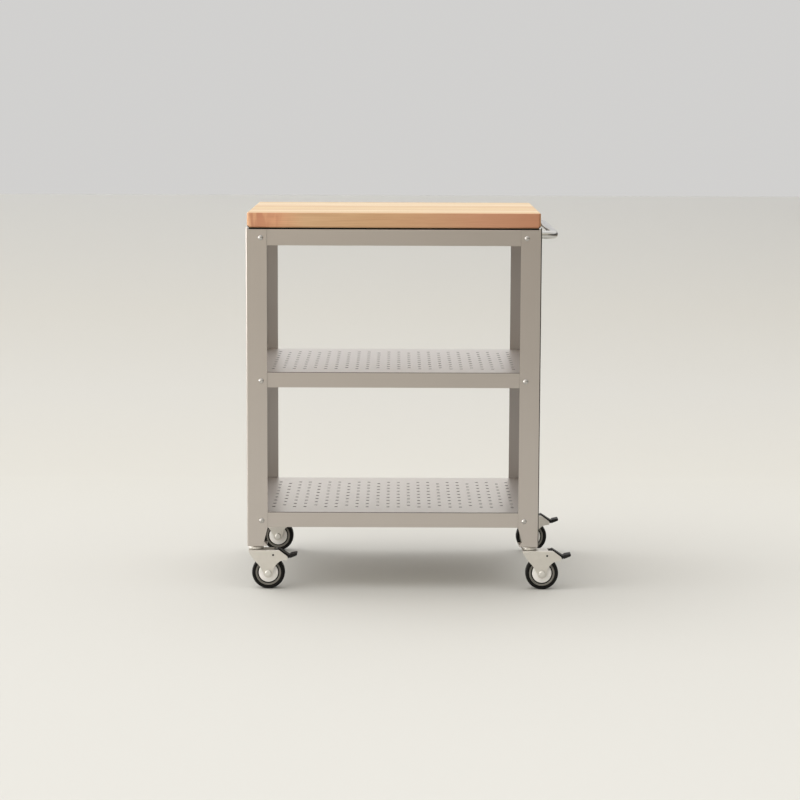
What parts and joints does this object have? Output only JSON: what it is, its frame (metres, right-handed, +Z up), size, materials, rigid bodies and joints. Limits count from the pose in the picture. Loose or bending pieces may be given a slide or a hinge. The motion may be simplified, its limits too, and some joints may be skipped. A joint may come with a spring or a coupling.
{
  "type": "kitchen island cart",
  "caption": "Rolling kitchen island cart: butcher-block top on bent-angle steel legs, perforated steel shelves, a tube handle at the side and braked swivel casters.",
  "frame": {"origin": "on the floor, at the middle of the cart's overall footprint with the casters parked as stored (0.040 m to the right of the frame's own middle plane)", "axes": "+X towards the handle side, +Y to the back, +Z up"},
  "size_m": [0.7858, 0.5156, 0.914],
  "materials": {
    "worktop_wood": "oiled edge-grain maple",
    "frame_steel": "fine brushed stainless steel",
    "polished_steel": "polished stainless steel",
    "caster_metal": "satin zinc-plated pressed steel",
    "wheel_plastic": "light grey moulded plastic",
    "tyre_rubber": "matt black rubber",
    "brake_plastic": "satin black moulded plastic"
  },
  "bodies": {
    "cart_frame": {"butcher_block_top": "worktop_wood", "worktop_gasket": "tyre_rubber", "worktop_screw_front_left": "caster_metal", "worktop_screw_front_right": "caster_metal", "worktop_screw_rear_left": "caster_metal", "worktop_screw_rear_right": "caster_metal", "rail_front": "frame_steel", "rail_rear": "frame_steel", "rail_left": "frame_steel", "rail_right": "frame_steel", "leg_front_left": "frame_steel", "leg_front_right": "frame_steel", "leg_rear_left": "frame_steel", "leg_rear_right": "frame_steel", "mid_shelf": "frame_steel", "lower_shelf": "frame_steel", "bolt_top_front_left": "polished_steel", "bolt_top_front_right": "polished_steel", "bolt_top_rear_left": "polished_steel", "bolt_top_rear_right": "polished_steel", "bolt_middle_front_left": "polished_steel", "bolt_middle_front_right": "polished_steel", "bolt_middle_rear_left": "polished_steel", "bolt_middle_rear_right": "polished_steel", "bolt_bottom_front_left": "polished_steel", "bolt_bottom_front_right": "polished_steel", "bolt_bottom_rear_left": "polished_steel", "bolt_bottom_rear_right": "polished_steel", "side_handle": "polished_steel", "handle_screw_front": "caster_metal", "handle_screw_rear": "caster_metal", "caster_stem_front_left": "caster_metal", "swivel_race_front_left": "caster_metal", "caster_stem_front_right": "caster_metal", "swivel_race_front_right": "caster_metal", "caster_stem_rear_left": "caster_metal", "swivel_race_rear_left": "caster_metal", "caster_stem_rear_right": "caster_metal", "swivel_race_rear_right": "caster_metal"},
    "caster_front_left": {"caster_fork_front_left": "caster_metal", "wheel_axle_front_left": "caster_metal"},
    "wheel_front_left": {"wheel_hub_front_left": "wheel_plastic", "wheel_tyre_front_left": "tyre_rubber"},
    "brake_front_left": {"brake_pedal_front_left": "brake_plastic"},
    "caster_front_right": {"caster_fork_front_right": "caster_metal", "wheel_axle_front_right": "caster_metal"},
    "wheel_front_right": {"wheel_hub_front_right": "wheel_plastic", "wheel_tyre_front_right": "tyre_rubber"},
    "brake_front_right": {"brake_pedal_front_right": "brake_plastic"},
    "caster_rear_left": {"caster_fork_rear_left": "caster_metal", "wheel_axle_rear_left": "caster_metal"},
    "wheel_rear_left": {"wheel_hub_rear_left": "wheel_plastic", "wheel_tyre_rear_left": "tyre_rubber"},
    "brake_rear_left": {"brake_pedal_rear_left": "brake_plastic"},
    "caster_rear_right": {"caster_fork_rear_right": "caster_metal", "wheel_axle_rear_right": "caster_metal"},
    "wheel_rear_right": {"wheel_hub_rear_right": "wheel_plastic", "wheel_tyre_rear_right": "tyre_rubber"},
    "brake_rear_right": {"brake_pedal_rear_right": "brake_plastic"}
  },
  "joints": [
    {"name": "caster_swivel_front_left", "type": "hinge", "parent": "cart_frame", "child": "caster_front_left", "pos_m": [-0.3724, -0.2335, 0.1], "axis": [0, 0, 1], "continuous": true},
    {"name": "wheel_spin_front_left", "type": "hinge", "parent": "caster_front_left", "child": "wheel_front_left", "pos_m": [-0.3424, -0.2335, 0.04], "axis": [0, 1, 0], "continuous": true},
    {"name": "brake_press_front_left", "type": "hinge", "parent": "caster_front_left", "child": "brake_front_left", "pos_m": [-0.3304, -0.2335, 0.0845], "axis": [0, 1, 0], "range_deg": [0, 14]},
    {"name": "caster_swivel_front_right", "type": "hinge", "parent": "cart_frame", "child": "caster_front_right", "pos_m": [0.2926, -0.2335, 0.1], "axis": [0, 0, 1], "continuous": true},
    {"name": "wheel_spin_front_right", "type": "hinge", "parent": "caster_front_right", "child": "wheel_front_right", "pos_m": [0.3226, -0.2335, 0.04], "axis": [0, 1, 0], "continuous": true},
    {"name": "brake_press_front_right", "type": "hinge", "parent": "caster_front_right", "child": "brake_front_right", "pos_m": [0.3346, -0.2335, 0.0845], "axis": [0, 1, 0], "range_deg": [0, 14]},
    {"name": "caster_swivel_rear_left", "type": "hinge", "parent": "cart_frame", "child": "caster_rear_left", "pos_m": [-0.3724, 0.2335, 0.1], "axis": [0, 0, 1], "continuous": true},
    {"name": "wheel_spin_rear_left", "type": "hinge", "parent": "caster_rear_left", "child": "wheel_rear_left", "pos_m": [-0.3424, 0.2335, 0.04], "axis": [0, 1, 0], "continuous": true},
    {"name": "brake_press_rear_left", "type": "hinge", "parent": "caster_rear_left", "child": "brake_rear_left", "pos_m": [-0.3304, 0.2335, 0.0845], "axis": [0, 1, 0], "range_deg": [0, 14]},
    {"name": "caster_swivel_rear_right", "type": "hinge", "parent": "cart_frame", "child": "caster_rear_right", "pos_m": [0.2926, 0.2335, 0.1], "axis": [0, 0, 1], "continuous": true},
    {"name": "wheel_spin_rear_right", "type": "hinge", "parent": "caster_rear_right", "child": "wheel_rear_right", "pos_m": [0.3226, 0.2335, 0.04], "axis": [0, 1, 0], "continuous": true},
    {"name": "brake_press_rear_right", "type": "hinge", "parent": "caster_rear_right", "child": "brake_rear_right", "pos_m": [0.3346, 0.2335, 0.0845], "axis": [0, 1, 0], "range_deg": [0, 14]}
  ]
}
